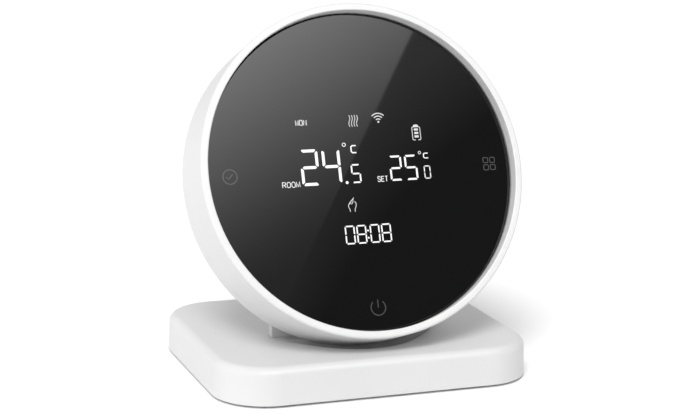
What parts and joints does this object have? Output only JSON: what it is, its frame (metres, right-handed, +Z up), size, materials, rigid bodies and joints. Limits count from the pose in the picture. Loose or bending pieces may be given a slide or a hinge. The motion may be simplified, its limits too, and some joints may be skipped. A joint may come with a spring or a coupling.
{
  "type": "rotary ring room thermostat on a table stand",
  "caption": "Round black-glass room thermostat with a turning white ring, hung on the bent upright of a low rounded-rectangle table stand.",
  "frame": {"origin": "on the table, under the middle of the base", "axes": "+Z up, front of the thermostat towards -Y, +X to the right seen from the front"},
  "size_m": [0.1, 0.0776, 0.1095],
  "materials": {
    "base_white": "satin moulded white plastic",
    "ring_white": "satin moulded white plastic",
    "housing_white": "fine textured white plastic",
    "grey_plastic": "moulded light grey plastic",
    "zinc_steel": "zinc plated sheet steel",
    "screw_steel": "plated screw steel",
    "black_rubber": "matt black",
    "black_glass": "back-printed black glass, polished",
    "black_plastic": "moulded black plastic",
    "reflector_white": "white light guide plastic",
    "printed_film": "smoked printed film",
    "circuit_board": "green solder mask",
    "display_light": "lit white",
    "conductive_foam": "dark grey foam",
    "chip_black": "moulded black epoxy",
    "natural_acetal": "natural acetal",
    "battery_jacket": "printed jacket, plain two-tone",
    "nickel_contact": "nickel plated spring steel"
  },
  "bodies": {
    "stand": {"base_shell": "base_white", "base_floor": "grey_plastic", "ballast_plate": "zinc_steel", "rubber_feet": "black_rubber", "base_screws": "screw_steel", "stand_upright": "base_white", "upright_screws": "screw_steel", "dock_studs": "screw_steel"},
    "head": {"front_glass": "black_glass", "glass_gasket": "black_rubber", "chassis": "black_plastic", "light_box": "reflector_white", "diffuser_film": "printed_film", "main_board": "circuit_board", "display_leds": "display_light", "board_screws": "screw_steel", "touch_pads": "conductive_foam", "wifi_module": "zinc_steel", "controller_chip": "chip_black", "buzzer": "black_plastic", "temperature_sensor": "chip_black", "encoder_body": "black_plastic", "slip_washer": "natural_acetal", "ring_retainer": "black_plastic", "retainer_screws": "screw_steel", "rear_housing": "housing_white", "battery_cells": "battery_jacket", "battery_springs": "nickel_contact", "contact_plates": "nickel_contact", "housing_screws": "screw_steel"},
    "ring": {"dial_ring": "ring_white", "ring_gear": "natural_acetal"},
    "pinion": {"encoder_pinion": "natural_acetal"},
    "door": {"battery_door": "housing_white"}
  },
  "joints": [
    {"name": "head_lift", "type": "slide", "parent": "stand", "child": "head", "axis": [0, 0.3649, 0.9311], "range_m": [0, 0.008]},
    {"name": "ring_turn", "type": "hinge", "parent": "head", "child": "ring", "pos_m": [0, -0.0137, 0.0622], "axis": [0, -0.9311, 0.3649], "continuous": true},
    {"name": "pinion_turn", "type": "hinge", "parent": "head", "child": "pinion", "pos_m": [0, -0.02538, 0.03241], "axis": [0, -0.9311, 0.3649], "continuous": true},
    {"name": "door_open", "type": "hinge", "parent": "head", "child": "door", "pos_m": [0, 0.00567, 0.05901], "axis": [-1, 0, 0], "range_deg": [0, 75]}
  ],
  "couplings": [
    {"joint": "pinion_turn", "follows": "ring_turn", "ratio": 3.2857}
  ]
}
